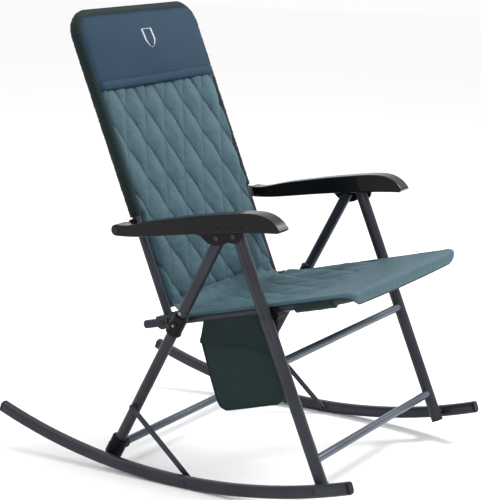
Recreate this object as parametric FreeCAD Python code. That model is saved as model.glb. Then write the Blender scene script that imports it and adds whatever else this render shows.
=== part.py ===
import FreeCAD, Part
import math
import os

os.makedirs("parts", exist_ok=True)
V = FreeCAD.Vector

# Sizes in millimetres.  The chair faces -Y, X is across it, Z is up from the floor.
# Side views give points as (y, z), with y = 0 under the centre of the rocker arc.

# Overall layout
rocker_arc = 1438.0          # radius of the rocker's centre line
rocker_front = 435.0         # how far the rocker runs forward of the arc centre
rocker_rear = 501.0          # and how far behind it
leg_spacing = 578.0          # across, centre to centre
arm_width = 44.0

# Sections
rocker_width = 24.0
rocker_height = 28.0
rocker_corner = 9.0
front_leg_radius = 14.0
rear_leg_radius = 13.0
rail_radius = 10.0
back_radius = 10.0
bar_radius = 9.5
tube_wall = 1.4
arm_wall = 3.0
brace_width = 13.0
brace_thickness = 3.0
plate_thickness = 5.0

# Room across the chair between one tube and the next
rocker_gap = 13.0              # leg to rocker
rail_gap = 7.0                 # leg to seat side tube
back_gap = 1.0                 # seat side tube to back upright
arm_shift = 2.5                # arm centre outside the leg centre
rocker_spacing = leg_spacing + 2 * (front_leg_radius + rocker_gap) + rocker_width
rail_spacing = leg_spacing - 2 * (front_leg_radius + rail_gap + rail_radius)
back_spacing = rail_spacing - 2 * (rail_radius + back_gap + back_radius)
arm_spacing = leg_spacing + 2 * arm_shift

# Pivots, as (y, z)
leg_foot = (-354.0, 48.0)      # lower end of the front leg
leg_pin = (-136.0, 588.0)      # rivet at the top of the front leg
rear_pin = (-92.5, 579.0)      # rivet at the top of the rear leg
rear_lean = 28.7               # rear leg from the vertical, degrees
seat_pin_height = 417.0        # seat pivot on the front leg
hinge_point = (78.7, 357.4)    # back hinge on the seat rail
seat_tilt = 13.8               # seat rail falls to the rear, degrees
back_lean = 21.4               # back from the vertical, degrees
arm_pin = (173.5, 569.6)       # arm bolt behind the back upright

# Lengths
seat_front = 484.0             # hinge to the middle of the front seat tube
seat_tail = 50.0               # seat rail behind the hinge
seat_bend = 34.0
back_length = 726.0            # hinge to the middle of the top tube
back_bend = 48.0
headrest_start = 556.0
pad_start = 112.0
binding_start = 250.0          # hinge to the lower end of the edge binding
rear_leg_length = 606.0        # rear rivet to the lower end of the leg
collar_drop = 242.0            # rear rivet to the collar
brace_drop = 479.0             # rear rivet to the brace rivet
stop_drop = 209.0
brace_foot = -22.0             # y of the brace bolt on the rocker
rest_reach = 315.0             # arm bolt to the cross pin
rest_rise = 47.4               # height of the cross pin over the arm bolt

# Fits
running_gap = 0.05             # between a pin and the hole it turns in
side_gap = 0.3                 # between parts that pass each other
soft_gap = 0.6                 # between cloth and the frame

# Soft parts
back_pad_depth = 15.0
headrest_depth = 17.0
seat_cloth_depth = 4.0
pocket_depth = 9.0

arc_height = rocker_arc + rocker_height / 2
mid_y = (rocker_rear - rocker_front) / 2
node_count = []


def save(name, shape):
    moved = shape.copy()
    moved.translate(V(0, -mid_y, 0))
    moved.exportStep("parts/" + name + ".step")
    node_count.append(name)


def mirrored(shape):
    return shape.mirror(V(0, 0, 0), V(1, 0, 0))


def save_pair(name, right):
    # The sitter's right hand is at -X.
    save(name + "_right", right)
    save(name + "_left", mirrored(right))


def save_group(name, shapes):
    save(name, Part.makeCompound(shapes))


def point(x, side):
    return V(x, side[0], side[1])


def along(start, direction, distance, shift=0.0):
    # A side-view point at a distance along a direction, moved square to it.
    y = start[0] + direction[0] * distance - direction[1] * shift
    z = start[1] + direction[1] * distance + direction[0] * shift
    return (y, z)


def rod(x, start, end, radius):
    first = point(x, start)
    run = point(x, end) - first
    return Part.makeCylinder(radius, run.Length, first, run)


def cross_pin(side, x0, x1, radius):
    return Part.makeCylinder(radius, abs(x1 - x0), V(min(x0, x1), side[0], side[1]), V(1, 0, 0))


def hollow_rod(x, start, end, radius):
    return rod(x, start, end, radius).cut(rod(x, start, end, radius - tube_wall))


def flat(points, x0, x1):
    # A side-view outline given a width in X.
    corners = [V(x0, y, z) for y, z in points]
    face = Part.Face(Part.makePolygon(corners + corners[:1]))
    return face.extrude(V(x1 - x0, 0, 0))


def bar_plate(a, b, width, x0, x1):
    # A flat strip with rounded ends from a to b.
    length = math.hypot(b[0] - a[0], b[1] - a[1])
    n = (-(b[1] - a[1]) / length * width / 2, (b[0] - a[0]) / length * width / 2)
    strip = flat([(a[0] + n[0], a[1] + n[1]), (b[0] + n[0], b[1] + n[1]),
                  (b[0] - n[0], b[1] - n[1]), (a[0] - n[0], a[1] - n[1])], x0, x1)
    ends = [cross_pin(a, x0, x1, width / 2), cross_pin(b, x0, x1, width / 2)]
    return strip.multiFuse(ends).removeSplitter()


def bent_tube(corners, bend, radius):
    # A round tube along straight runs joined by bends.
    edges = []
    start = corners[0]
    for i in range(1, len(corners) - 1):
        before = (corners[i] - corners[i - 1]).normalize()
        after = (corners[i + 1] - corners[i]).normalize()
        half = before.getAngle(after) / 2
        trim = bend * math.tan(half)
        a = corners[i] - before * trim
        b = corners[i] + after * trim
        inward = (after - before).normalize()
        middle = corners[i] + inward * (bend / math.cos(half) - bend)
        edges.append(Part.LineSegment(start, a).toShape())
        edges.append(Part.Arc(a, middle, b).toShape())
        start = b
    edges.append(Part.LineSegment(start, corners[-1]).toShape())
    path = Part.Wire(edges)
    direction = corners[1] - corners[0]
    ring = Part.Wire([Part.Circle(corners[0], direction, radius).toShape()])
    return path.makePipeShell([ring], True, False)


def hollow_bent_tube(corners, bend, radius):
    return bent_tube(corners, bend, radius).cut(bent_tube(corners, bend, radius - tube_wall))


def rounded_section(width, height, corner):
    # A rounded rectangle in the XZ plane at y = 0, centred on the origin.
    w, h = width / 2, height / 2
    block = Part.makeBox(width, 1, height, V(-w, 0, -h))
    block = block.makeFillet(corner, [e for e in block.Edges
                                      if abs(e.tangentAt(e.FirstParameter).y) > 0.9])
    return [f for f in block.Faces if abs(f.CenterOfMass.y) < 1e-6][0]


def rocker_piece(inset, start, end):
    # A length of rocker section swept round the arc between two angles in degrees.
    face = rounded_section(rocker_width - 2 * inset, rocker_height - 2 * inset, rocker_corner - inset)
    face.translate(V(-rocker_spacing / 2, 0, arc_height - rocker_arc))
    centre = V(-rocker_spacing / 2, 0, arc_height)
    face.rotate(centre, V(1, 0, 0), start)
    return face.revolve(centre, V(1, 0, 0), end - start)


# Directions in the side view
leg_run = math.hypot(leg_pin[0] - leg_foot[0], leg_pin[1] - leg_foot[1])
leg_up = ((leg_pin[0] - leg_foot[0]) / leg_run, (leg_pin[1] - leg_foot[1]) / leg_run)
rear_down = (math.sin(math.radians(rear_lean)), -math.cos(math.radians(rear_lean)))
rail_back = (math.cos(math.radians(seat_tilt)), -math.sin(math.radians(seat_tilt)))
back_up = (math.sin(math.radians(back_lean)), math.cos(math.radians(back_lean)))

# Across
rocker_x = -rocker_spacing / 2
rocker_inner = rocker_x + rocker_width / 2
rocker_outer = rocker_x - rocker_width / 2
leg_x = -leg_spacing / 2
rail_x = -rail_spacing / 2
back_x = -back_spacing / 2
arm_x = -arm_spacing / 2
arm_inner = arm_x + arm_width / 2
arm_outer = arm_x - arm_width / 2

# Pivots worked out from the sizes above


def on_rocker(y):
    return (y, arc_height - math.sqrt(rocker_arc ** 2 - y ** 2))


def front_leg_at(z):
    return (leg_foot[0] + (z - leg_foot[1]) * leg_up[0] / leg_up[1], z)


seat_pin = front_leg_at(seat_pin_height)
rocker_pin = on_rocker(leg_foot[0] + 3.5)
collar_pin = along(rear_pin, rear_down, collar_drop)
brace_top = along(rear_pin, rear_down, brace_drop)
brace_bolt = on_rocker(brace_foot)

# ---------------------------------------------------------------- rockers
turn_front = -math.degrees(math.asin(rocker_front / rocker_arc))
turn_rear = math.degrees(math.asin(rocker_rear / rocker_arc))
degree = math.degrees(1 / rocker_arc)
bolt_radius = 4.0
rivet_radius = 3.0

rocker = rocker_piece(0, turn_front, turn_rear).cut(
    rocker_piece(tube_wall, turn_front - 1, turn_rear + 1))
rocker = rocker.cut(cross_pin(rocker_pin, rocker_outer - 5, rocker_inner + 5, bolt_radius))
rocker = rocker.cut(cross_pin(brace_bolt, rocker_outer - 5, rocker_inner + 5, rivet_radius))
save_pair("rocker", rocker)

caps = []
for end, way in ((turn_front, -1), (turn_rear, 1)):
    face = rocker_piece(0, min(end, end + way * 6 * degree), max(end, end + way * 6 * degree))
    far = [e for e in face.Edges if abs(
        math.degrees(math.atan2(e.CenterOfMass.y, arc_height - e.CenterOfMass.z))
        - (end + way * 6 * degree)) < 0.05]
    face = face.makeFillet(3.0, far)
    plug = rocker_piece(tube_wall + 0.2, min(end, end - way * 18 * degree),
                        max(end, end - way * 18 * degree))
    caps.append(face.fuse(plug))
save_group("rocker_caps", caps + [mirrored(c) for c in caps])


def bolt(side, x_head, x_tip, radius, head, head_thickness, nut=0.0):
    # A bolt from its outer head inwards; x_head is the outer face it bears on.
    shank = cross_pin(side, x_head, x_tip, radius)
    button = cross_pin(side, x_head, x_head - head_thickness, head)
    button = button.makeFillet(head_thickness * 0.6,
                               [e for e in button.Edges if abs(
                                   e.CenterOfMass.x - (x_head - head_thickness)) < 1e-6
                                and e.Length > 1.2 * math.pi * head])
    whole = shank.fuse(button)
    if nut:
        whole = whole.fuse(cross_pin(side, x_tip, x_tip + nut, head * 0.9))
    return whole


leg_inner = leg_x + front_leg_radius
leg_outer = leg_x - front_leg_radius
rocker_bolt = bolt(rocker_pin, rocker_outer, leg_inner + side_gap, bolt_radius, 7.5, 3.0, 3.0)
save_group("rocker_bolts", [rocker_bolt, mirrored(rocker_bolt)])

# Across, the brace lies between the collar and the rocker.
brace_out = rocker_inner + 4.0
brace_in = brace_out + brace_thickness
brace_stud = bolt(brace_bolt, rocker_outer, rocker_inner + 1.6, rivet_radius, 5.5, 2.0)
save_group("brace_bolts", [brace_stud, mirrored(brace_stud)])

# ---------------------------------------------------------------- front legs
leg_top = along(leg_pin, leg_up, 13.0)
leg_bottom = leg_foot


def front_leg_solid(grow=0.0):
    return rod(leg_x, leg_bottom, leg_top, front_leg_radius + grow)


front_leg = hollow_rod(leg_x, leg_bottom, leg_top, front_leg_radius)
for side, radius in ((rocker_pin, bolt_radius + running_gap), (seat_pin, rivet_radius),
                     (leg_pin, rivet_radius)):
    front_leg = front_leg.cut(cross_pin(side, leg_outer - 5, leg_inner + 5, radius))
save_pair("front_leg", front_leg)

bars = {"front_bar_lower": 110.0, "front_bar_upper": 318.0}
for name, height in bars.items():
    middle = front_leg_at(height)
    bar = cross_pin(middle, leg_x, -leg_x, bar_radius)
    bar = bar.cut(cross_pin(middle, leg_x, -leg_x, bar_radius - tube_wall))
    for solid in (front_leg_solid(), mirrored(front_leg_solid())):
        bar = bar.cut(solid)
    save(name, bar)

plugs = []
for end, way in ((leg_top, 1), (leg_bottom, -1)):
    cap = rod(leg_x, end, along(end, leg_up, 4.0 * way), front_leg_radius)
    cap = cap.fuse(rod(leg_x, end, along(end, leg_up, -3.0 * way),
                       front_leg_radius - tube_wall))
    plugs.append(cap)
save_group("front_leg_plugs", plugs + [mirrored(p) for p in plugs])

spacer = cross_pin(rocker_pin, rocker_inner + side_gap, leg_outer, 9.0)
spacer = spacer.cut(front_leg_solid())
spacer = spacer.cut(cross_pin(rocker_pin, rocker_inner + 5, leg_outer - 20,
                              bolt_radius + running_gap))
spacer = spacer.cut(cross_pin(rocker_pin, rocker_inner, leg_inner, bolt_radius + running_gap))
save_group("rocker_spacers", [spacer, mirrored(spacer)])

# Toothed rack plate on the outer side of both leg tops.
plate_in = leg_outer - side_gap
plate_out = plate_in - plate_thickness
tooth_line = [(-158.0, 611.6), (-136.0, 612.2), (-90.0, 609.6), (-46.0, 598.0), (-32.0, 593.0)]


def tooth_height(y):
    for (y0, z0), (y1, z1) in zip(tooth_line, tooth_line[1:]):
        if y0 <= y <= y1:
            return z0 + (z1 - z0) * (y - y0) / (y1 - y0)
    return tooth_line[-1][1]


tooth_pitch = 25.0
tooth_depth = 7.0
teeth = []
tip = tooth_line[0][0] + 8
while tip < tooth_line[-1][0] - 2:
    teeth += [(tip - 4, tooth_height(tip) - 1.5), (tip, tooth_height(tip)),
              (tip + 4, tooth_height(tip) - 1.5),
              (tip + tooth_pitch / 2 - 3, tooth_height(tip + tooth_pitch / 2) - tooth_depth),
              (tip + tooth_pitch / 2 + 3, tooth_height(tip + tooth_pitch / 2) - tooth_depth)]
    tip += tooth_pitch
outline = [(-154, 596)] + teeth + [
    (-30, 584), (-52, 580), (-62, 571), (-74, 565), (-92, 562), (-108, 566),
    (-120, 573), (-138, 572), (-149, 578), (-153, 586)]
plate = flat(outline, plate_out, plate_in)
plate = plate.cut(cross_pin(leg_pin, plate_out - 1, plate_in + 1, rivet_radius))
plate = plate.cut(cross_pin(rear_pin, plate_out - 1, plate_in + 1, rivet_radius))
save_pair("rack_plate", plate)

rivets = []
for side in (leg_pin, rear_pin):
    rivets.append(bolt(side, plate_out, leg_inner + side_gap, rivet_radius, 6.0, 2.0, 2.0))
save_group("leg_top_rivets", rivets + [mirrored(r) for r in rivets])

seat_rivet = bolt(seat_pin, leg_outer - side_gap, rail_x - rail_radius - side_gap, rivet_radius,
                  5.5, 2.0)
save_group("seat_rivets", [seat_rivet, mirrored(seat_rivet)])

# ---------------------------------------------------------------- rear legs
rear_top = along(rear_pin, rear_down, -11.0)
rear_end = along(rear_pin, rear_down, rear_leg_length)
rear_leg = hollow_rod(leg_x, rear_top, rear_end, rear_leg_radius)
rear_leg = rear_leg.cut(cross_pin(rear_pin, leg_outer - 5, leg_inner + 5,
                                  rivet_radius + running_gap))
rear_leg = rear_leg.cut(cross_pin(brace_top, leg_outer - 5, leg_inner + 5, rivet_radius))
stop_side = along(rear_pin, rear_down, stop_drop)
rear_leg = rear_leg.cut(cross_pin(stop_side, leg_outer - 5, leg_inner + 5, rivet_radius))
save_pair("rear_leg", rear_leg)

rear_outer = leg_x - rear_leg_radius
brace_rivet = bolt(brace_top, brace_out - side_gap, leg_x + rear_leg_radius, rivet_radius, 5.5, 1.8)
washer = cross_pin(brace_top, brace_in + side_gap, leg_x, 6.0).cut(
    rod(leg_x, rear_top, rear_end, rear_leg_radius))
washer = max(washer.Solids, key=lambda s: -s.CenterOfMass.x)
brace_rivet = brace_rivet.fuse(washer)
save_group("brace_rivets", [brace_rivet, mirrored(brace_rivet)])

stop_rivet = bolt(stop_side, rear_outer - 0.2, leg_x + rear_leg_radius, rivet_radius, 4.2, 2.2)
save_group("stop_rivets", [stop_rivet, mirrored(stop_rivet)])

rear_plug = rod(leg_x, rear_top, along(rear_top, rear_down, -4.0), rear_leg_radius)
rear_plug = rear_plug.fuse(rod(leg_x, rear_top, along(rear_top, rear_down, 3.0),
                               rear_leg_radius - tube_wall))
save_group("rear_leg_plugs", [rear_plug, mirrored(rear_plug)])

# Ribbed boot round the lower end of the rear leg, with a socket for the rear bar.
boot_start = along(rear_pin, rear_down, rear_leg_length - 28.0)
boot_end = along(rear_pin, rear_down, rear_leg_length + 16.0)
boot = rod(leg_x, boot_start, boot_end, 17.5)
for step in range(4):
    a = along(boot_start, rear_down, 2.0 + step * 8.0)
    boot = boot.fuse(rod(leg_x, a, along(a, rear_down, 4.0), 19.5))
boot = boot.fuse(rod(leg_x, along(boot_end, rear_down, -18.0), along(boot_end, rear_down, 3.0), 20.5))
bar_side = along(rear_pin, rear_down, rear_leg_length - 2.0)
socket = cross_pin(bar_side, leg_x, leg_x + 34.0, bar_radius + 4.0)
boot = boot.fuse(socket)
boot = boot.cut(rod(leg_x, boot_start, rear_end, rear_leg_radius))
boot = boot.cut(cross_pin(bar_side, leg_x, -leg_x, bar_radius))
save_pair("boot", boot)

rear_bar = cross_pin(bar_side, leg_x, -leg_x, bar_radius)
rear_bar = rear_bar.cut(cross_pin(bar_side, leg_x, -leg_x, bar_radius - tube_wall))
for solid in (rod(leg_x, rear_top, rear_end, rear_leg_radius),
              mirrored(rod(leg_x, rear_top, rear_end, rear_leg_radius))):
    rear_bar = rear_bar.cut(solid)
rear_bar = max(rear_bar.Solids, key=lambda s: s.Volume)
save("rear_bar", rear_bar)

# ---------------------------------------------------------------- braces
brace = bar_plate(brace_top, brace_bolt, brace_width, brace_out, brace_in)
brace = brace.cut(cross_pin(brace_top, brace_out - 1, brace_in + 1, rivet_radius + running_gap))
brace = brace.cut(cross_pin(brace_bolt, brace_out - 1, brace_in + 1, rivet_radius + 0.5))
save_pair("brace", brace)

# ---------------------------------------------------------------- collars
collar_radius = 17.8
collar_half = 24.0
collar_high = along(collar_pin, rear_down, -collar_half)
collar_low = along(collar_pin, rear_down, collar_half)
collar = rod(leg_x, collar_high, collar_low, collar_radius)
for end, way in ((collar_high, 1), (collar_low, -1)):
    collar = collar.fuse(rod(leg_x, end, along(end, rear_down, way * 5.0), collar_radius + 0.9))
collar = collar.fuse(cross_pin(collar_pin, leg_x - 12, brace_in + side_gap + 0.6, 10.5))
collar = collar.cut(rod(leg_x, along(collar_high, rear_down, -5), along(collar_low, rear_down, 5),
                        rear_leg_radius + running_gap))
collar = collar.cut(cross_pin(collar_pin, leg_x - 14, brace_in, rivet_radius))
save_pair("collar", collar)
collar_rivet = cross_pin(collar_pin, leg_x - 14.0, brace_in + side_gap + 0.1, rivet_radius)
save_group("collar_rivets", [collar_rivet, mirrored(collar_rivet)])

# ---------------------------------------------------------------- seat
rail_end = along(hinge_point, rail_back, seat_tail)
rail_front = along(hinge_point, rail_back, -seat_front)
seat_corners = [point(rail_x, rail_end), point(rail_x, rail_front),
                point(-rail_x, rail_front), point(-rail_x, rail_end)]
seat_solid = bent_tube(seat_corners, seat_bend, rail_radius)
seat_tube = hollow_bent_tube(seat_corners, seat_bend, rail_radius)
hinge_radius = 3.5
for x in (rail_x, -rail_x):
    seat_tube = seat_tube.cut(cross_pin(hinge_point, x - 14, x + 14, hinge_radius + running_gap))
save("seat_tube", seat_tube)

seat_plug = rod(rail_x, rail_end, along(rail_end, rail_back, 4.0), rail_radius)
seat_plug = seat_plug.fuse(rod(rail_x, rail_end, along(rail_end, rail_back, -14.0),
                               rail_radius - tube_wall))
save_group("seat_plugs", [seat_plug, mirrored(seat_plug)])

# Ribbed block under the rail, carrying the seat pivot.
block_outer = leg_inner + side_gap
block_inner = rail_x + rail_radius + 1.5
ahead = along(seat_pin, rail_back, -24.0)
behind = along(seat_pin, rail_back, 24.0)
block = flat([along(ahead, rail_back, 0, 12.0), along(ahead, rail_back, 0, -9.0),
              along(ahead, rail_back, 5, -13.0), along(behind, rail_back, -5, -13.0),
              along(behind, rail_back, 0, -9.0), along(behind, rail_back, 0, 12.0)],
             block_outer, block_inner)
for step in range(4):
    groove = along(seat_pin, rail_back, -19.5 + step * 13.0, -13.0)
    block = block.cut(cross_pin(groove, block_outer - 1, block_inner + 1, 1.8))
block = block.cut(seat_solid)
block = block.cut(cross_pin(seat_pin, block_outer - 1, block_inner + 1, rivet_radius + running_gap))
block = max(block.Solids, key=lambda s: s.Volume)
save_group("seat_blocks", [block, mirrored(block)])

# Short pin from the rail towards the sliding collar.
collar_stub = cross_pin(collar_pin, rail_x, leg_x + collar_radius + 0.9 + side_gap, 6.0)
collar_stub = collar_stub.cut(seat_solid)
collar_stub = min(collar_stub.Solids, key=lambda s: s.CenterOfMass.x)
save_group("collar_studs", [collar_stub, mirrored(collar_stub)])

# Hinge lug: a saddle over the rail with a cheek on its outer side.
rail_outer = rail_x - rail_radius
rail_inner = rail_x + rail_radius
lug = cross_pin(hinge_point, rail_outer - 3.0, rail_outer, 15.0)
lug = lug.fuse(flat([along(hinge_point, rail_back, -15), along(hinge_point, rail_back, -13, 16),
                     along(hinge_point, rail_back, 13, 16), along(hinge_point, rail_back, 15)],
                    rail_outer - 3.0, rail_outer))
lug = lug.fuse(flat([along(hinge_point, rail_back, -13, 8), along(hinge_point, rail_back, -13, 16),
                     along(hinge_point, rail_back, 13, 16), along(hinge_point, rail_back, 13, 8)],
                    rail_outer - 3.0, rail_inner))
lug = lug.cut(seat_solid)
lug = lug.cut(cross_pin(hinge_point, rail_outer - 5, rail_outer + 1, hinge_radius + running_gap))
lug = max(lug.Solids, key=lambda s: s.Volume)
save_group("hinge_lugs", [lug, mirrored(lug)])

# Seat cloth stretched over the tubes.
cloth_low = rail_radius + soft_gap
cloth_half = -rail_x + 4.0
cloth_rear = -70.0
sling = flat([along(hinge_point, rail_back, cloth_rear, cloth_low),
              along(hinge_point, rail_back, cloth_rear, cloth_low + seat_cloth_depth),
              along(hinge_point, rail_back, -seat_front, cloth_low + seat_cloth_depth),
              along(hinge_point, rail_back, -seat_front - 9, cloth_low + seat_cloth_depth - 2),
              along(hinge_point, rail_back, -seat_front - 9, cloth_low)],
             -cloth_half, cloth_half)
save("seat_cloth", sling)

# Cloth sleeves round the tube between the front corner and the pivot block.
sleeves = []
sleeve_front = along(hinge_point, rail_back, -seat_front + seat_bend + 2)
sleeve_back = along(hinge_point, rail_back, -seat_front + seat_bend + 92)
cuff = rod(rail_x, sleeve_front, sleeve_back, rail_radius + soft_gap + 1.6)
cuff = cuff.cut(rod(rail_x, sleeve_front, sleeve_back, rail_radius + soft_gap))
low = flat([along(sleeve_front, rail_back, -1, -30), along(sleeve_front, rail_back, -1, 6),
            along(sleeve_back, rail_back, 1, 6), along(sleeve_back, rail_back, 1, -30)],
           rail_x - 30, rail_x + 30)
cuff = cuff.common(low)
save_group("rail_sleeves", [cuff, mirrored(cuff)])

# Side pocket hanging from the right rail.
pocket_drop = rail_radius + 1.0
block_drop = 25.0
pocket_top = [along(hinge_point, rail_back, reach, -drop)
              for reach, drop in ((-119, pocket_drop), (-255, pocket_drop), (-256, block_drop),
                                  (-300, block_drop))]
pocket_outline = pocket_top + [(-222, 330), (-236, 222), (-228, 206), (-90, 171), (-72, 176),
                               (-22, 318), (-24, 350)]
pocket = flat(pocket_outline, rail_x - pocket_depth / 2, rail_x + pocket_depth / 2)
save("side_pocket", pocket)

# ---------------------------------------------------------------- back
back_foot = along(hinge_point, back_up, -13.0)
back_top = along(hinge_point, back_up, back_length)
back_corners = [point(back_x, back_foot), point(back_x, back_top),
                point(-back_x, back_top), point(-back_x, back_foot)]
back_tube = hollow_bent_tube(back_corners, back_bend, back_radius)
for x in (back_x, -back_x):
    back_tube = back_tube.cut(cross_pin(hinge_point, x - 14, x + 14, hinge_radius + running_gap))
save("back_tube", back_tube)

hinge_pin = cross_pin(hinge_point, rail_outer - 3.0 - side_gap, back_x + back_radius + side_gap,
                      hinge_radius)
hinge_pin = hinge_pin.fuse(cross_pin(hinge_point, rail_outer - 3.0 - side_gap,
                                     rail_outer - 4.6 - side_gap, 6.0))
# A broad friction washer is riveted on inside the back upright.
washer_radius = 17.0
washer_thickness = 2.5
hinge_pin = hinge_pin.fuse(cross_pin(hinge_point, back_x + back_radius + side_gap,
                                     back_x + back_radius + washer_thickness + side_gap,
                                     washer_radius))
save_group("hinge_pins", [hinge_pin, mirrored(hinge_pin)])


def back_slab(start, end, half_width, front, depth, corner):
    # A panel square to the back direction, with rounded corners.
    slab = Part.makeBox(2 * half_width, depth, end - start, V(-half_width, 0, start))
    edges = [e for e in slab.Edges if abs(e.tangentAt(e.FirstParameter).y) > 0.9
             and e.CenterOfMass.z > (start + end) / 2]
    if corner:
        slab = slab.makeFillet(corner, edges)
    slab.translate(V(0, -front - depth, 0))
    slab.rotate(V(0, 0, 0), V(1, 0, 0), -back_lean)
    slab.translate(V(0, hinge_point[0], hinge_point[1]))
    return slab


pad_half = -back_x - 2.0
cloth_front = back_radius + soft_gap
back_pad = back_slab(pad_start, headrest_start - 1.0, pad_half, cloth_front, back_pad_depth, 0)
save("back_pad", back_pad)
headrest = back_slab(headrest_start, back_length + 2.0, pad_half, cloth_front, headrest_depth,
                     back_bend)
save("headrest_pad", headrest)

# Edge binding folded round the uprights and the top tube.
binding_foot = along(hinge_point, back_up, binding_start)
binding_path = [point(back_x, binding_foot), point(back_x, back_top),
                point(-back_x, back_top), point(-back_x, binding_foot)]
binding = bent_tube(binding_path, back_bend, back_radius + soft_gap + 2.2)
binding = binding.cut(bent_tube(binding_path, back_bend, back_radius + soft_gap))
binding = binding.cut(back_slab(0, back_length + 60, 400, cloth_front - soft_gap - 3.0, 40, 0))
save("back_binding", max(binding.Solids, key=lambda s: s.Volume))

# Bracket on each upright that carries the arm bolt.
bracket_in = back_x
bracket_out = arm_inner + side_gap
near = along(hinge_point, back_up, (arm_pin[0] - hinge_point[0]) * back_up[0]
             + (arm_pin[1] - hinge_point[1]) * back_up[1])
bracket = cross_pin(arm_pin, bracket_out, bracket_in, 11.0)
bracket = bracket.fuse(flat([along(near, back_up, -14, 9), along(near, back_up, 14, 9),
                             along(near, back_up, 14, -13), along(near, back_up, -14, -13)],
                            back_x - back_radius - 4.0, bracket_in))
upright = rod(back_x, back_foot, along(back_top, back_up, -60), back_radius)
bracket = bracket.cut(upright)
bracket = max(bracket.Solids, key=lambda s: s.Volume)
bracket = bracket.cut(cross_pin(arm_pin, bracket_out - 1, bracket_in + 1,
                                bolt_radius + running_gap))
bracket = max(bracket.Solids, key=lambda s: s.Volume)
save_pair("arm_bracket", bracket)

# ---------------------------------------------------------------- arms
arm_bolt_tip = back_x - back_radius - 1.0
arm_bolt = bolt(arm_pin, arm_outer - side_gap, arm_bolt_tip, bolt_radius, 8.0, 1.8)
save_group("arm_bolts", [arm_bolt, mirrored(arm_bolt)])

arm_top = [(173.5, 582.6), (150, 583.0), (92, 596.5), (34, 609), (-45, 624), (-123, 636.5),
           (-175, 643.0), (-210, 641.5), (-236, 630.0), (-253, 612.0)]
arm_under = [(-247, 606.0), (-200, 602.5), (-140, 596), (-45, 584), (40, 571), (143, 557.6),
             (173.5, 556.6)]


def smooth(points):
    curve = Part.BSplineCurve()
    curve.interpolate([V(0, y, z) for y, z in points])
    return curve.toShape()


def arm_profile(top, under):
    tail = Part.Arc(V(0, under[-1][0], under[-1][1]),
                    V(0, arm_pin[0] + (top[0][1] - under[-1][1]) / 2, arm_pin[1]),
                    V(0, top[0][0], top[0][1])).toShape()
    nose = Part.LineSegment(V(0, top[-1][0], top[-1][1]), V(0, under[0][0], under[0][1])).toShape()
    return Part.Face(Part.Wire([tail, smooth(top), nose, smooth(under)]))


arm = arm_profile(arm_top, arm_under).extrude(V(-arm_width, 0, 0))
arm.translate(V(arm_inner, 0, 0))
ridge = [e for e in arm.Edges if e.Length > 30 and e.Length != arm_width
         and (e.CenterOfMass.z > 600 or e.CenterOfMass.y > 175)
         and abs(e.CenterOfMass.x - arm_x) > 1]
arm = arm.makeFillet(3.0, ridge)
inner_top = [(y, z - arm_wall - 0.4) for y, z in arm_top[1:-1]]
hollow = [(168, 548)] + [(168, inner_top[0][1] - 0.5)] + inner_top + [(-243, 612), (-243, 548)]
arm = arm.cut(flat(hollow, arm_outer + arm_wall, arm_inner - arm_wall))
arm = arm.cut(cross_pin(arm_pin, arm_outer - 1, arm_inner + 1, bolt_radius + running_gap))
rest_side = (arm_pin[0] - math.sqrt(rest_reach ** 2 - rest_rise ** 2), arm_pin[1] + rest_rise)
arm = arm.cut(cross_pin(rest_side, arm_outer + 1.0, arm_inner - 1.0, bolt_radius))
save_pair("arm", arm)
rest_pin = cross_pin(rest_side, arm_outer + 1.0, arm_inner - 1.0, bolt_radius)
save_group("arm_rest_pins", [rest_pin, mirrored(rest_pin)])

print(len(node_count), "nodes")
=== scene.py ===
import math

import bmesh
import bpy
import numpy as np
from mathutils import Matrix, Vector, noise


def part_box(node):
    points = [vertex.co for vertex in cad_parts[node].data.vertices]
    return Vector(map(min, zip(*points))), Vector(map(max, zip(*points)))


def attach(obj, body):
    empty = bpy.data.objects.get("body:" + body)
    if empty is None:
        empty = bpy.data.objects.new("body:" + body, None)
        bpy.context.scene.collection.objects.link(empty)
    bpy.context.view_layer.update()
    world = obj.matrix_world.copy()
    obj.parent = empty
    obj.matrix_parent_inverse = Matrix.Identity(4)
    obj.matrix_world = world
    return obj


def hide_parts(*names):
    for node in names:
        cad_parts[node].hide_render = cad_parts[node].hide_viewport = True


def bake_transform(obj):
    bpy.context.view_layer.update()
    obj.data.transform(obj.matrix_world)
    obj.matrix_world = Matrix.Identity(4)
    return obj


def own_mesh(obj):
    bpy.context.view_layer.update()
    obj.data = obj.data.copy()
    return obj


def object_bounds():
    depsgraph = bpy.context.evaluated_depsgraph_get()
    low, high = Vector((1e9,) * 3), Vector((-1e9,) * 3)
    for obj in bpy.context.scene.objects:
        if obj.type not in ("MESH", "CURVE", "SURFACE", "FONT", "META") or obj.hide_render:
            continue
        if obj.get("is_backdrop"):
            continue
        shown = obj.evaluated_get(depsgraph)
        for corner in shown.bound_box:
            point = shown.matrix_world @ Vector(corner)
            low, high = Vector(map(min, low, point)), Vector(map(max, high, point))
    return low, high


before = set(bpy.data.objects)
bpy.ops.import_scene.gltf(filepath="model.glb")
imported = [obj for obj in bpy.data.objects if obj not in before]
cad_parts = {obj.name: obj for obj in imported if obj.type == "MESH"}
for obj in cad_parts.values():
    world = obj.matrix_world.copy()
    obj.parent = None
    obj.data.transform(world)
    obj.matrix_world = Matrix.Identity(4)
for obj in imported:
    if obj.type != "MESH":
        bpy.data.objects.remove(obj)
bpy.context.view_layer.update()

# ---------------------------------------------------------------- camera
# A long lens stands 3.8 m away at the chair's front right, somewhat above its top, and looks
# down at the middle of the chair.
middle = Vector((0.0, 0.003, 0.482))
camera_data = bpy.data.cameras.new("camera")
camera_data.sensor_width = 36.0
camera_data.sensor_fit = "AUTO"
camera_data.lens = 115.2
camera_data.clip_end = 60.0
camera = bpy.data.objects.new("camera", camera_data)
camera.location = (-3.166, -1.952, 1.292)
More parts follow.
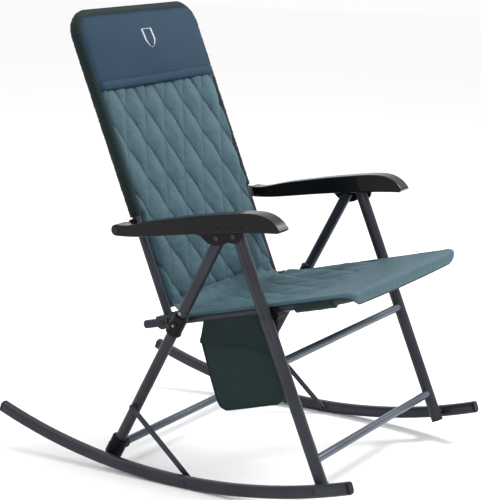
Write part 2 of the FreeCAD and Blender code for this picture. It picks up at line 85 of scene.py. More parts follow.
camera.rotation_euler = (middle - camera.location).to_track_quat("-Z", "Y").to_euler()
bpy.context.scene.collection.objects.link(camera)
bpy.context.scene.camera = camera

# ---------------------------------------------------------------- lights
# A white studio: a broad key high at the camera's right, a soft fill beside the camera and a
# top light over the back.
world = bpy.data.worlds.new("studio")
bpy.context.scene.world = world
world.use_nodes = True
background = world.node_tree.nodes["Background"]
background.inputs["Color"].default_value = (1.0, 1.0, 1.0, 1.0)
background.inputs["Strength"].default_value = 0.98
bpy.context.scene.view_settings.view_transform = "Standard"


def area_light(name, place, size, power):
    data = bpy.data.lights.new(name, "AREA")
    data.shape = "RECTANGLE"
    data.size = size[0]
    data.size_y = size[1]
    data.energy = power
    lamp = bpy.data.objects.new(name, data)
    lamp.location = place
    lamp.rotation_euler = (middle - Vector(place)).to_track_quat("-Z", "Y").to_euler()
    bpy.context.scene.collection.objects.link(lamp)


area_light("key_light", (2.4, -1.7, 2.7), (0.8, 0.8), 120.0)
area_light("fill_light", (-3.2, -2.6, 2.6), (1.6, 1.6), 26.0)
area_light("top_light", (-0.4, 0.6, 3.4), (1.4, 2.2), 30.0)

# ---------------------------------------------------------------- floor
# A plain white floor, much wider than the view.
floor_mesh = bpy.data.meshes.new("floor")
half_floor = 14.0
floor_mesh.from_pydata([(-half_floor, -half_floor, 0), (half_floor, -half_floor, 0),
                        (half_floor, half_floor, 0), (-half_floor, half_floor, 0)],
                       [], [(0, 1, 2, 3)])
floor = bpy.data.objects.new("floor", floor_mesh)
bpy.context.scene.collection.objects.link(floor)
floor_material = bpy.data.materials.new("floor_paper")
floor_material.use_nodes = True
floor_shader = floor_material.node_tree.nodes["Principled BSDF"]
floor_shader.inputs["Base Color"].default_value = (0.97, 0.97, 0.97, 1.0)
floor_shader.inputs["Roughness"].default_value = 0.9
floor_mesh.materials.append(floor_material)
floor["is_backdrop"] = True

# ---------------------------------------------------------------- steel tubes
# Legs, rockers, seat and back tubes, flat braces and hinge lugs are steel, held together by
# rivets and bolts.  They wear a satin slate powder coat, slightly orange-peeled and rubbed a
# little lighter in places.


def group_node(name, inputs, outputs):
    group = bpy.data.node_groups.new(name, "ShaderNodeTree")
    for label, kind, value in inputs:
        socket = group.interface.new_socket(name=label, in_out="INPUT", socket_type=kind)
        socket.default_value = value
    for label, kind in outputs:
        group.interface.new_socket(name=label, in_out="OUTPUT", socket_type=kind)
    start = group.nodes.new("NodeGroupInput")
    end = group.nodes.new("NodeGroupOutput")
    return group, start, end


def grain_group():
    # Fine grain height and broad patchiness from the piece's own coordinates.
    group, start, end = group_node(
        "grain", [("Fine", "NodeSocketFloat", 900.0), ("Broad", "NodeSocketFloat", 9.0)],
        [("Height", "NodeSocketFloat"), ("Patch", "NodeSocketFloat")])
    place = group.nodes.new("ShaderNodeTexCoord")
    fine = group.nodes.new("ShaderNodeTexNoise")
    broad = group.nodes.new("ShaderNodeTexNoise")
    broad.inputs["Detail"].default_value = 5.0
    group.links.new(place.outputs["Object"], fine.inputs["Vector"])
    group.links.new(place.outputs["Object"], broad.inputs["Vector"])
    group.links.new(start.outputs["Fine"], fine.inputs["Scale"])
    group.links.new(start.outputs["Broad"], broad.inputs["Scale"])
    group.links.new(fine.outputs["Fac"], end.inputs["Height"])
    group.links.new(broad.outputs["Fac"], end.inputs["Patch"])
    return group


grain = grain_group()


def hard_material(name, dark, light, rough, metal, fine, bump, coat=0.0):
    # Paint, plastic or metal: two close tones mixed by patches, with fine grain in the relief.
    material = bpy.data.materials.new(name)
    material.use_nodes = True
    tree = material.node_tree
    shader = tree.nodes["Principled BSDF"]
    source = tree.nodes.new("ShaderNodeGroup")
    source.node_tree = grain
    source.inputs["Fine"].default_value = fine
    blend = tree.nodes.new("ShaderNodeMix")
    blend.data_type = "RGBA"
    blend.inputs["A"].default_value = (*dark, 1.0)
    blend.inputs["B"].default_value = (*light, 1.0)
    spread = tree.nodes.new("ShaderNodeMapRange")
    spread.inputs["From Min"].default_value = 0.35
    spread.inputs["From Max"].default_value = 0.7
    relief = tree.nodes.new("ShaderNodeBump")
    relief.inputs["Strength"].default_value = bump
    relief.inputs["Distance"].default_value = 0.0006
    shine = tree.nodes.new("ShaderNodeMapRange")
    shine.inputs["To Min"].default_value = rough - 0.06
    shine.inputs["To Max"].default_value = rough + 0.08
    tree.links.new(source.outputs["Patch"], spread.inputs["Value"])
    tree.links.new(spread.outputs["Result"], blend.inputs["Factor"])
    tree.links.new(blend.outputs["Result"], shader.inputs["Base Color"])
    tree.links.new(source.outputs["Height"], relief.inputs["Height"])
    tree.links.new(relief.outputs["Normal"], shader.inputs["Normal"])
    tree.links.new(source.outputs["Patch"], shine.inputs["Value"])
    tree.links.new(shine.outputs["Result"], shader.inputs["Roughness"])
    shader.inputs["Metallic"].default_value = metal
    shader.inputs["Specular IOR Level"].default_value = 0.3 if metal else 0.14
    shader.inputs["Coat Weight"].default_value = coat
    return material


def dress(nodes, material):
    for name in nodes:
        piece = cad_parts[name]
        piece.data.materials.clear()
        piece.data.materials.append(material)


slate = hard_material("slate_coat", (0.015, 0.017, 0.024), (0.026, 0.029, 0.039), 0.36, 0.15,
                      1400.0, 0.12)
dress(["front_leg_left", "front_leg_right", "rear_leg_left", "rear_leg_right", "rocker_left",
       "rocker_right", "seat_tube", "back_tube", "brace_left", "brace_right", "hinge_lugs"],
      slate)

# ---------------------------------------------------------------- crossbars
# Three steel bars fixed between the legs, two in front and one behind, are a lighter, glossier
# grey-blue.  The seat tube's end plugs have the same colour.
bar_coat = hard_material("bar_coat", (0.055, 0.068, 0.092), (0.085, 0.102, 0.132), 0.24, 0.45,
                         1400.0, 0.06)
dress(["front_bar_upper", "front_bar_lower", "rear_bar", "seat_plugs"], bar_coat)

# ---------------------------------------------------------------- black mouldings
# Boots, collars and their studs, rack plates, pivot blocks, arm brackets, spacers, plugs and
# end caps are black nylon with a fine moulded grain, pushed on or held by rivets.
nylon = hard_material("black_nylon", (0.003, 0.003, 0.004), (0.007, 0.007, 0.009), 0.42, 0.0,
                      2200.0, 0.25)
dress(["front_leg_plugs", "rear_leg_plugs", "rack_plate_left", "rack_plate_right",
       "rocker_spacers", "boot_left", "boot_right", "collar_left", "collar_right", "rocker_caps",
       "seat_blocks", "arm_bracket_left", "arm_bracket_right", "collar_studs"], nylon)

# ---------------------------------------------------------------- rivets and bolts
# The stops and collar rivets on the rear legs, and the arms' rest pins, are dulled zinc.  All
# other heads, bolts and hinge pins are dark.
zinc = hard_material("zinc", (0.20, 0.20, 0.21), (0.34, 0.34, 0.35), 0.34, 0.9, 1800.0, 0.1)
dress(["stop_rivets", "arm_rest_pins", "collar_rivets"], zinc)
dark_zinc = hard_material("dark_zinc", (0.02, 0.02, 0.022), (0.05, 0.05, 0.055), 0.35, 0.6,
                          1800.0, 0.1)
dress(["rocker_bolts", "brace_bolts", "brace_rivets", "arm_bolts", "leg_top_rivets",
       "seat_rivets", "hinge_pins"], dark_zinc)

# ---------------------------------------------------------------- arms
# Moulded arms in polished black plastic, hollow underneath.  Each is bolted to the back's
# bracket and rests on a rack plate by its cross pin.
arm_gloss = hard_material("arm_gloss", (0.002, 0.002, 0.003), (0.004, 0.004, 0.005), 0.24, 0.0,
                          1500.0, 0.05, 0.16)
dress(["arm_left", "arm_right"], arm_gloss)


def wrapped_tube(name, points, radius, sides=10, closed=False):
    # A round cord-like body along points, as one mesh.
    nearly_across = Vector((1.0, 0.013, 0.0))
    nearly_up = Vector((0.0, 0.02, 1.0))
    mesh = bpy.data.meshes.new(name)
    body = bmesh.new()
    rings = []
    count = len(points)
    for i, place in enumerate(points):
        place = Vector(place)
        before = Vector(points[(i - 1) % count] if closed or i else points[0])
        after = Vector(points[(i + 1) % count] if closed or i < count - 1 else points[-1])
        run = (after - before).normalized()
        side = run.cross(nearly_across)
        if side.length < 0.3:
            side = run.cross(nearly_up)
        side.normalize()
        other = run.cross(side)
        ring = []
        for k in range(sides):
            turn = 2 * math.pi * k / sides
            ring.append(body.verts.new(place + side * (radius * math.cos(turn))
                                       + other * (radius * math.sin(turn))))
        rings.append(ring)
    total = count if closed else count - 1
    for i in range(total):
        a, b = rings[i], rings[(i + 1) % count]
        for k in range(sides):
            body.faces.new((a[k], a[(k + 1) % sides], b[(k + 1) % sides], b[k]))
    if not closed:
        body.faces.new(rings[0][::-1])
        body.faces.new(rings[-1])
    bmesh.ops.recalc_face_normals(body, faces=body.faces)
    body.to_mesh(mesh)
    body.free()
    for face in mesh.polygons:
        face.use_smooth = True
    piece = bpy.data.objects.new(name, mesh)
    bpy.context.scene.collection.objects.link(piece)
    return piece


def paint(piece, material):
    piece.data.materials.clear()
    piece.data.materials.append(material)


# A raised wavy rib moulded on each arm's outer side, and the seam behind its nose.
wave_steps = 60
wave_start = 0.094
wave_length = 0.118
wave_level = 0.6105
wave_fall = 0.017
wave_height = 0.0040
wave_count = 4.0
wave_radius = 0.0014
wave_proud = 0.0006
seam_steps = 20
seam_start = 0.030
seam_length = 0.036
seam_level = 0.6075
seam_rise = 0.0295
seam_curve = 1.6
seam_radius = 0.0009
seam_proud = 0.0001
for label, side in (("right", -1), ("left", 1)):
    low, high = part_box("arm_" + label)
    face_x = low.x if side < 0 else high.x
    wave = []
    for i in range(wave_steps + 1):
        t = i / wave_steps
        y = low.y + wave_start + wave_length * t
        z = wave_level - wave_fall * t + wave_height * math.sin(2 * math.pi * wave_count * t)
        wave.append((face_x + side * wave_proud, y, z))
    rib = wrapped_tube("arm_wave_" + label, wave, wave_radius)
    paint(rib, arm_gloss)
    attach(rib, "arms")
    seam = []
    for i in range(seam_steps + 1):
        t = i / seam_steps
        seam.append((face_x + side * seam_proud, low.y + seam_start + seam_length * t ** seam_curve,
                     seam_level + seam_rise * t))
    line = wrapped_tube("arm_seam_" + label, seam, seam_radius)
    paint(line, arm_gloss)
    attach(line, "arms")

# ---------------------------------------------------------------- quilted back
# Two layers of teal-grey polyester over thin wadding, stitched through in tall diamonds and
# sewn into the edge binding.  Each diamond puffs and the cloth puckers along the stitching.
pin_low, pin_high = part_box("hinge_pins")
hinge = (pin_low + pin_high) / 2
lean = math.radians(21.4)
back_along = Vector((0.0, math.sin(lean), math.cos(lean)))
back_front = Vector((0.0, -math.cos(lean), math.sin(lean)))


def on_back(x, up, out):
    # Metres across, up the back from the hinge, and out of the plane of its tubes.
    return Vector((x, hinge.y, hinge.z)) + back_along * up + back_front * out


def weave_group():
    # Threads over and under: two sets of fine waves in the piece's own coordinates.
    group, start, end = group_node(
        "weave", [("Threads", "NodeSocketFloat", 260.0)],
        [("Height", "NodeSocketFloat"), ("Patch", "NodeSocketFloat"),
         ("Fleck", "NodeSocketFloat")])
    place = group.nodes.new("ShaderNodeTexCoord")
    waves = []
    for direction in ("X", "Z"):
        wave = group.nodes.new("ShaderNodeTexWave")
        wave.bands_direction = direction
        wave.inputs["Distortion"].default_value = 0.6
        wave.inputs["Detail"].default_value = 1.0
        group.links.new(place.outputs["Object"], wave.inputs["Vector"])
        group.links.new(start.outputs["Threads"], wave.inputs["Scale"])
        waves.append(wave)
    cross = group.nodes.new("ShaderNodeMath")
    cross.operation = "MULTIPLY"
    group.links.new(waves[0].outputs["Fac"], cross.inputs[0])
    group.links.new(waves[1].outputs["Fac"], cross.inputs[1])
    broad = group.nodes.new("ShaderNodeTexNoise")
    broad.inputs["Scale"].default_value = 14.0
    broad.inputs["Detail"].default_value = 6.0
    fleck = group.nodes.new("ShaderNodeTexNoise")
    fleck.inputs["Scale"].default_value = 700.0
    group.links.new(place.outputs["Object"], broad.inputs["Vector"])
    group.links.new(place.outputs["Object"], fleck.inputs["Vector"])
    group.links.new(cross.outputs["Value"], end.inputs["Height"])
    group.links.new(broad.outputs["Fac"], end.inputs["Patch"])
    group.links.new(fleck.outputs["Fac"], end.inputs["Fleck"])
    return group


weave = weave_group()


def cloth_material(name, dark, light, rough, sheen, threads, bump):
    material = bpy.data.materials.new(name)
    material.use_nodes = True
    tree = material.node_tree
    shader = tree.nodes["Principled BSDF"]
    source = tree.nodes.new("ShaderNodeGroup")
    source.node_tree = weave
    source.inputs["Threads"].default_value = threads
    tone = tree.nodes.new("ShaderNodeMath")
    tone.operation = "MULTIPLY_ADD"
    tone.inputs[1].default_value = 0.55
    shift = tree.nodes.new("ShaderNodeMath")
    shift.operation = "MULTIPLY"
    shift.inputs[1].default_value = 0.45
    blend = tree.nodes.new("ShaderNodeMix")
    blend.data_type = "RGBA"
    blend.inputs["A"].default_value = (*dark, 1.0)
    blend.inputs["B"].default_value = (*light, 1.0)
    relief = tree.nodes.new("ShaderNodeBump")
    relief.inputs["Strength"].default_value = bump
    relief.inputs["Distance"].default_value = 0.0008
    tree.links.new(source.outputs["Fleck"], shift.inputs[0])
    tree.links.new(source.outputs["Patch"], tone.inputs[0])
    tree.links.new(shift.outputs["Value"], tone.inputs[2])
    tree.links.new(tone.outputs["Value"], blend.inputs["Factor"])
    # Painted shade: where the point attribute read here is high, in seam valleys and creases, the
    # colour is darkened towards a sixth of the dark tone.
    seam_shade = tree.nodes.new("ShaderNodeAttribute")
    seam_shade.attribute_name = "seam_shade"
    shade = tree.nodes.new("ShaderNodeMix")
    shade.data_type = "RGBA"
    shade.inputs["B"].default_value = (dark[0] * 0.16, dark[1] * 0.16, dark[2] * 0.18, 1.0)
    tree.links.new(seam_shade.outputs["Fac"], shade.inputs["Factor"])
    tree.links.new(blend.outputs["Result"], shade.inputs["A"])
    tree.links.new(shade.outputs["Result"], shader.inputs["Base Color"])
    tree.links.new(source.outputs["Height"], relief.inputs["Height"])
    tree.links.new(relief.outputs["Normal"], shader.inputs["Normal"])
    shader.inputs["Roughness"].default_value = rough
    shader.inputs["Sheen Weight"].default_value = sheen
    shader.inputs["Sheen Roughness"].default_value = 0.45
    shader.inputs["Specular IOR Level"].default_value = 0.14
    return material


teal = cloth_material("teal_cloth", (0.028, 0.066, 0.086), (0.054, 0.110, 0.136), 0.55, 0.05,
                      330.0, 0.35)


def slab_mesh(name, columns, rows, front, rear):
    # A thin closed body: a front grid and a rear grid joined round their edges.
    verts = []
    for j in range(rows + 1):
        for i in range(columns + 1):
            verts.append(front(i / columns, j / rows))
    for j in range(rows + 1):
        for i in range(columns + 1):
            verts.append(rear(i / columns, j / rows))
    wide = columns + 1
    offset = wide * (rows + 1)
    faces = []
    for j in range(rows):
        for i in range(columns):
            a = j * wide + i
            faces.append((a, a + 1, a + 1 + wide, a + wide))
            b = a + offset
            faces.append((b, b + wide, b + 1 + wide, b + 1))
    for i in range(columns):
        faces.append((i, i + offset, i + 1 + offset, i + 1))
        a = rows * wide + i
        faces.append((a, a + 1, a + 1 + offset, a + offset))
    for j in range(rows):
        a = j * wide
        faces.append((a, a + wide, a + wide + offset, a + offset))
        b = j * wide + columns
        faces.append((b, b + offset, b + wide + offset, b + wide))
    mesh = bpy.data.meshes.new(name)
    mesh.from_pydata([tuple(v) for v in verts], [], faces)
    mesh.validate()
    body = bmesh.new()
    body.from_mesh(mesh)
    bmesh.ops.recalc_face_normals(body, faces=body.faces)
    body.to_mesh(mesh)
    body.free()
    for face in mesh.polygons:
        face.use_smooth = True
    piece = bpy.data.objects.new(name, mesh)
    bpy.context.scene.collection.objects.link(piece)
    return piece


def puff(piece, held, pressure, grow, cap):
    # Inflates the cloth between its held points, then keeps the result in the mesh, with no
    # point moved further than the cap.
    start = np.array([v.co for v in piece.data.vertices])
    frames = 14
    group = piece.vertex_groups.new(name="held")
    group.add([int(i) for i in np.nonzero(held)[0]], 1.0, "REPLACE")
    cloth = piece.modifiers.new("cloth", "CLOTH")
    settings = cloth.settings
    settings.vertex_group_mass = "held"
    settings.quality = 3
    settings.mass = 0.2
    settings.tension_stiffness = 20.0
    settings.compression_stiffness = 20.0
    settings.shear_stiffness = 8.0
    settings.bending_stiffness = 0.12
    settings.use_pressure = True
    settings.uniform_pressure_force = pressure
    settings.shrink_min = grow
    settings.shrink_max = grow
    settings.effector_weights.gravity = 0.0
    cloth.collision_settings.use_collision = False
    cloth.point_cache.frame_start = 1
    cloth.point_cache.frame_end = frames
    scene = bpy.context.scene
    for step in range(1, frames + 1):
        scene.frame_set(step)
    graph = bpy.context.evaluated_depsgraph_get()
    done = piece.evaluated_get(graph)
    end = np.array([v.co for v in done.data.vertices])
    piece.modifiers.remove(cloth)
    piece.vertex_groups.remove(group)
    scene.frame_set(1)
    move = end - start
    size = np.linalg.norm(move, axis=1)
    size[size < 1e-9] = 1e-9
    move *= (np.minimum(size, cap) / size)[:, None]
    for vertex, place in zip(piece.data.vertices, start + move):
        vertex.co = place
    piece.data.update()


diamond_wide = 0.080
diamond_tall = 0.164
quilt_low = 0.026
quilt_high = 0.5535
quilt_half = 0.2345
quilt_columns = 180
quilt_rows = 120
pad_inner_half = 0.2265
pad_widens_at = 0.246
pad_widens_over = 0.016
pad_plane = -0.004
pad_rear_plane = -0.006
pad_rear_rise = 0.009
pad_depth = 0.0155
pad_hollow = 0.007
pad_roll = 0.014
diamond_lift = 0.0125


def seam_distance(x, up):
    # How far a point lies from the nearest stitched diagonal, as a share of a diamond.
    a = (x / diamond_wide + up / diamond_tall) % 1.0
    b = (x / diamond_wide - up / diamond_tall) % 1.0
    return min(a, 1 - a), min(b, 1 - b)


def seam_shade_amount(a, b, width, cross_width, cross_share):
    # Painted shade for the stitched seams: stronger along the seams that climb to the sitter's
    # right than along those across them, as the light falls across the one set and along the other.
    return max(math.exp(-(a / width) ** 2), cross_share * math.exp(-(b / cross_width) ** 2))


def paint_seam_shade(piece, strength):
    # Stores, from 0 to 1, how much painted shade each point of the cloth gets in the stitched
    # valleys.
    mark = piece.data.attributes.new("seam_shade", "FLOAT", "POINT")
    mark.data.foreach_set("value", np.clip(strength, 0.0, 1.0).astype(np.float32))


def pucker(x, up, a, b):
    # Short wrinkles that run out from the stitching.
    near = math.exp(-min(a, b) * 9.0)
    return 0.0011 * near * noise.noise(Vector((x * 120.0, up * 75.0, 5.5)))


def pad_half(up):
    # The pad covers the tube above the binding's lower end and lies inside it below.
    t = min(1.0, max(0.0, (up - pad_widens_at) / pad_widens_over))
    return pad_inner_half + (quilt_half - pad_inner_half) * t * t * (3 - 2 * t)


def quilt_front(u, v):
    up = quilt_low + v * (quilt_high - quilt_low)
    half = pad_half(up)
    x = (2 * u - 1) * half
    a, b = seam_distance(x, up)
    puffed = min(1.0, a * 2.0) * min(1.0, b * 2.0)
    edge = min(1.0, (half - abs(x)) / pad_roll)
    roll = math.sqrt(max(0.0, 1 - (1 - edge) ** 2))
    foot = min(1.0, v / 0.05)
    lift = diamond_lift * puffed ** 0.42 * roll
    hollow = -pad_hollow * math.cos(math.pi * min(1.0, abs(x) / half) / 2)
    crumple = 0.0022 * noise.noise(Vector((x * 34.0, up * 15.0, 3.1)))
    return on_back(x, up, pad_plane + pad_depth * roll * (0.5 + 0.5 * foot) + lift + hollow
                   + (crumple + pucker(x, up, a, b)) * roll)


def quilt_rear(u, v):
    up = quilt_low + v * (quilt_high - quilt_low)
    half = pad_half(up)
    x = (2 * u - 1) * half
    edge = min(1.0, (half - abs(x)) / 0.03)
    return on_back(x, up, pad_rear_plane + pad_rear_rise * edge)


quilt_free_from = 0.020
back_quilt = slab_mesh("back_quilt", quilt_columns, quilt_rows, quilt_front, quilt_rear)
held = np.ones(len(back_quilt.data.vertices), bool)
valley_shade = np.zeros(len(back_quilt.data.vertices))
for j in range(quilt_rows + 1):
    up = quilt_low + j / quilt_rows * (quilt_high - quilt_low)
    for i in range(quilt_columns + 1):
        x = (2 * i / quilt_columns - 1) * pad_half(up)
        a, b = seam_distance(x, up)
        k = j * (quilt_columns + 1) + i
        valley_shade[k] = seam_shade_amount(a, b, 0.034, 0.022, 0.40)
        inside = 2 <= j < quilt_rows - 1 and 6 <= i < quilt_columns - 5
        if inside and a > quilt_free_from and b > quilt_free_from:
            held[k] = False
puff(back_quilt, held, pressure=4.0, grow=-0.004, cap=0.006)
# Painted shade: the quilt's seam valleys are darkened in colour by this mask.
paint_seam_shade(back_quilt, valley_shade * 0.95)
paint(back_quilt, teal)
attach(back_quilt, "back")
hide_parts("back_pad")

# ---------------------------------------------------------------- headrest
# A smooth petrol-blue panel over thicker foam, sewn into the edge binding, with a folded strip
# of the same cloth where it meets the quilt.
navy = cloth_material("navy_cloth", (0.002, 0.019, 0.042), (0.004, 0.031, 0.060), 0.6, 0.0,
                      420.0, 0.25)
rest_low = 0.5545
rest_high = 0.7345
rest_half = 0.2505
corner = 0.058
rest_side_roll = 0.055
rest_top_roll = 0.13
rest_depth = 0.018
rest_crown = 0.012
rest_rear_rise = 0.008


def rest_shape(u, v):
    # Pulls the two top corners of the panel in to their round.
    x = (2 * u - 1) * rest_half
    up = rest_low + v * (rest_high - rest_low)
    over = up - (rest_high - corner)
    if over > 0:
        reach = corner - math.sqrt(max(0.0, corner ** 2 - over ** 2))
        x *= (rest_half - reach) / rest_half
    return x, up


def rest_front(u, v):
    x, up = rest_shape(u, v)
    side = min(1.0, min(u, 1 - u) / rest_side_roll, (1 - v) / rest_top_roll)
    low = min(1.0, 0.35 + v / 0.06)
    roll = math.sqrt(max(0.0, 1 - (1 - side) ** 2))
    crown = (rest_crown * math.sin(math.pi * u) ** 0.6
             * math.sin(math.pi * min(1.0, v + 0.06)) ** 0.6)
    ripple = 0.0011 * noise.noise(Vector((x * 16.0, up * 24.0, 7.7)))
    return on_back(x, up, pad_plane + rest_depth * roll * low + crown * roll + ripple * roll)


def rest_rear(u, v):
    x, up = rest_shape(u, v)
    edge = min(1.0, min(u, 1 - u) / 0.05, (1 - v) / 0.1)
    return on_back(x, up, pad_rear_plane + rest_rear_rise * edge)


head_panel = slab_mesh("head_panel", 90, 44, rest_front, rest_rear)
paint(head_panel, navy)
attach(head_panel, "back")
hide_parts("headrest_pad")


strip_half = 0.2485
strip_low = 0.5425
strip_width = 0.026
strip_taper = 0.045
strip_front_plane = -0.003
strip_front_depth = 0.0200
strip_crown = 0.0042
strip_rear_plane = -0.0045
strip_rear_depth = 0.0150
strip_columns = 80
strip_rows = 8


def strip_front(u, v):
    x = (2 * u - 1) * strip_half
    side = min(1.0, min(u, 1 - u) / strip_taper)
    sag = 0.0012 * noise.noise(Vector((x * 30.0, v, 1.5)))
    depth = strip_front_depth + strip_crown * math.sin(math.pi * v) ** 0.5
    return on_back(x, strip_low + strip_width * v + sag,
                   strip_front_plane + depth * side ** 0.5)


def strip_rear(u, v):
    x = (2 * u - 1) * strip_half
    side = min(1.0, min(u, 1 - u) / strip_taper)
    return on_back(x, strip_low + strip_width * v,
                   strip_rear_plane + strip_rear_depth * side ** 0.5)


head_strip = slab_mesh("head_strip", strip_columns, strip_rows, strip_front, strip_rear)
# Painted shade along the strip's top and bottom rows, where it is sewn into the creases against the
# quilt and the headrest.
strip_edge_shade = np.array([0.55 if n // (strip_columns + 1) in (0, strip_rows) else 0.0
                           for n in range(len(head_strip.data.vertices))])
paint_seam_shade(head_strip, strip_edge_shade)
paint(head_strip, navy)
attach(head_strip, "back")

# A small plain badge is sewn on the middle of the headrest: a pale rim round a blue field.
badge_pale = cloth_material("badge_thread", (0.40, 0.44, 0.46), (0.55, 0.58, 0.60), 0.6, 0.0,
                            600.0, 0.5)


badge_low = 0.628
badge_height = 0.048
badge_half_width = 0.0205
badge_back = -0.0010


def badge_half(t):
    # Half the badge's width at a share t of its height, from the point to the flat top.
    return badge_half_width * min(1.0, (max(t, 0.004) / 0.40) ** 0.55)


def badge_point(u, v, inset, proud):
    t = v * (1 - inset * 0.2) + inset * 0.1
    x = (2 * u - 1) * badge_half(t) * (1 - inset)
    up = badge_low + badge_height * t
    level = rest_front(0.5 + x / (2 * rest_half), (up - rest_low) / (rest_high - rest_low))
    return level + back_front * proud


def badge(name, inset, proud, material):
    piece = slab_mesh(name, 12, 12, lambda u, v: badge_point(u, v, inset, proud),
                      lambda u, v: badge_point(u, v, inset, badge_back))
    paint(piece, material)
    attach(piece, "back")


badge("head_badge_rim", 0.0, 0.0008, badge_pale)
badge("head_badge_field", 0.30, 0.0013, navy)

# ---------------------------------------------------------------- edge binding
# Dark knitted mesh sewn to the panels and drawn round the back tube, gathered in small folds.
mesh_cloth = cloth_material("mesh_cloth", (0.003, 0.008, 0.009), (0.012, 0.024, 0.026), 0.75,
                            0.06, 200.0, 0.8)


def round_u(distance, half, start, end, bend):
    # A place on a bent tube's line, up the right side from start, round two corners and down
    # the left side: across, along, and the two parts of the outward direction.
    side_run = end - bend - start
    arc = bend * math.pi / 2
    flat_run = 2 * (half - bend)
    if distance < side_run:
        return -half, start + distance, -1.0, 0.0
    distance -= side_run
    if distance < arc:
        turn = distance / bend
        return (-half + bend - bend * math.cos(turn), end - bend + bend * math.sin(turn),
                -math.cos(turn), math.sin(turn))
    distance -= arc
    if distance < flat_run:
        return -half + bend + distance, end, 0.0, 1.0
    distance -= flat_run
    if distance < arc:
        turn = distance / bend
        return (half - bend + bend * math.sin(turn), end - bend + bend * math.cos(turn),
                math.sin(turn), math.cos(turn))
    distance -= arc
    return half, end - bend - distance, 1.0, 0.0


def round_u_length(half, start, end, bend):
    return 2 * (end - bend - start) + math.pi * bend + 2 * (half - bend)


def thin_sheet(name, points, rows, columns, thickness, offset, turned=False):
    # One layer of cloth through rows of points, given its thickness by a modifier.
    faces = []
    for j in range(rows):
        for i in range(columns):
            a = j * (columns + 1) + i
            b = a + columns + 1
            faces.append((a, b, b + 1, a + 1) if turned else (a, a + 1, b + 1, b))
    mesh = bpy.data.meshes.new(name)
    mesh.from_pydata([tuple(point) for point in points], [], faces)
    for face in mesh.polygons:
        face.use_smooth = True
    piece = bpy.data.objects.new(name, mesh)
    bpy.context.scene.collection.objects.link(piece)
    body = piece.modifiers.new("thick", "SOLIDIFY")
    body.thickness = thickness
    body.offset = offset
    return piece


tube_radius = 0.010
back_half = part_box("back_tube")[1].x - tube_radius
back_top = 0.726
back_bend = 0.048
binding_low = 0.250
binding_radius = 0.0138
binding_from = -112.0
binding_sweep = 250.0
pleat_height = 0.00035
pleat_pitch = 620.0
crumple_height = 0.0009
binding_line = (back_half, binding_low, back_top, back_bend)
binding_length = round_u_length(*binding_line)
steps = 560
around = 22
binding_points = []
for i in range(steps + 1):
    distance = binding_length * i / steps
    x, up, nx, nu = round_u(distance, *binding_line)
    for k in range(around + 1):
        turn = math.radians(binding_from + binding_sweep * k / around)
        gather = (pleat_height * math.sin(distance * pleat_pitch
                                          + 3.0 * math.sin(distance * 61.0))
                  + crumple_height * noise.noise(Vector((distance * 110.0, k * 0.35, 0.4))))
        radius = binding_radius + gather * (0.4 + 0.6 * math.sin(math.pi * k / around))
        outward = radius * math.cos(turn)
        forward = radius * math.sin(turn)
        binding_points.append(on_back(x + nx * outward, up + nu * outward, forward))
edge_gather = thin_sheet("edge_gather", binding_points, steps, around, 0.0012, -1.0)
paint(edge_gather, mesh_cloth)
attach(edge_gather, "back")
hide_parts("back_binding")

piping_steps = 280
piping_out = 0.0143
for label, turn_at in (("front", 140.0), ("side", 20.0)):
    line = []
    for i in range(piping_steps + 1):
        x, up, nx, nu = round_u(binding_length * i / piping_steps, *binding_line)
        outward = piping_out * math.cos(math.radians(turn_at))
        line.append(on_back(x + nx * outward, up + nu * outward,
                            piping_out * math.sin(math.radians(turn_at))))
    cord_line = wrapped_tube("edge_piping_" + label, line, 0.0011, 8)
    paint(cord_line, mesh_cloth)
    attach(cord_line, "back")

# ---------------------------------------------------------------- seat
# One sheet of the teal cloth over thin wadding, sewn round the side and front tubes.  It sags
# between them, and is quilted behind and plain in front.
tilt = math.radians(13.8)
seat_along = Vector((0.0, -math.cos(tilt), math.sin(tilt)))
seat_above = Vector((0.0, math.sin(tilt), math.cos(tilt)))
rail_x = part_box("seat_tube")[1].x - tube_radius

pocket_cloth = cloth_material("pocket_cloth", (0.004, 0.011, 0.012), (0.009, 0.021, 0.023), 0.7,
                              0.12, 300.0, 0.4)


def on_seat(x, ahead, above):
    # Metres across, forward of the hinge along the rail, and above the plane of its tubes.
    return Vector((x, hinge.y, hinge.z)) + seat_along * ahead + seat_above * above


seat_rear = 0.042
seat_nose = 0.484
seat_bend = 0.034
seat_quilt_end = 0.285
seat_quilt_shift = 0.03
seat_sag = 0.020
seat_front_dip = 0.004
seat_lift = 0.0075
seat_edge_width = 0.022
seat_free_from = 0.022
seat_thickness = 0.0034
wrap = 0.0122


def tube_half(ahead):
    # Half the distance between the centre lines of the tube at this place along the seat.
    over = ahead - (seat_nose - seat_bend)
    if over <= 0:
        return rail_x
    return rail_x - seat_bend + math.sqrt(max(0.0, seat_bend ** 2 - min(over, seat_bend) ** 2))


def seat_place(u, v):
    ahead = seat_rear + v * (seat_nose - seat_rear)
    half = tube_half(ahead)
    x = (2 * u - 1) * half
    inner = 1 - (abs(x) / half) ** 2.2
    fore = math.sin(math.pi * min(1.0, v * 0.96 + 0.02)) ** 0.75
    sag = -seat_sag * inner * fore
    front_dip = -seat_front_dip * inner * max(0.0, (v - 0.8) / 0.2)
    return x, ahead, half, wrap - 0.0004 + sag + front_dip


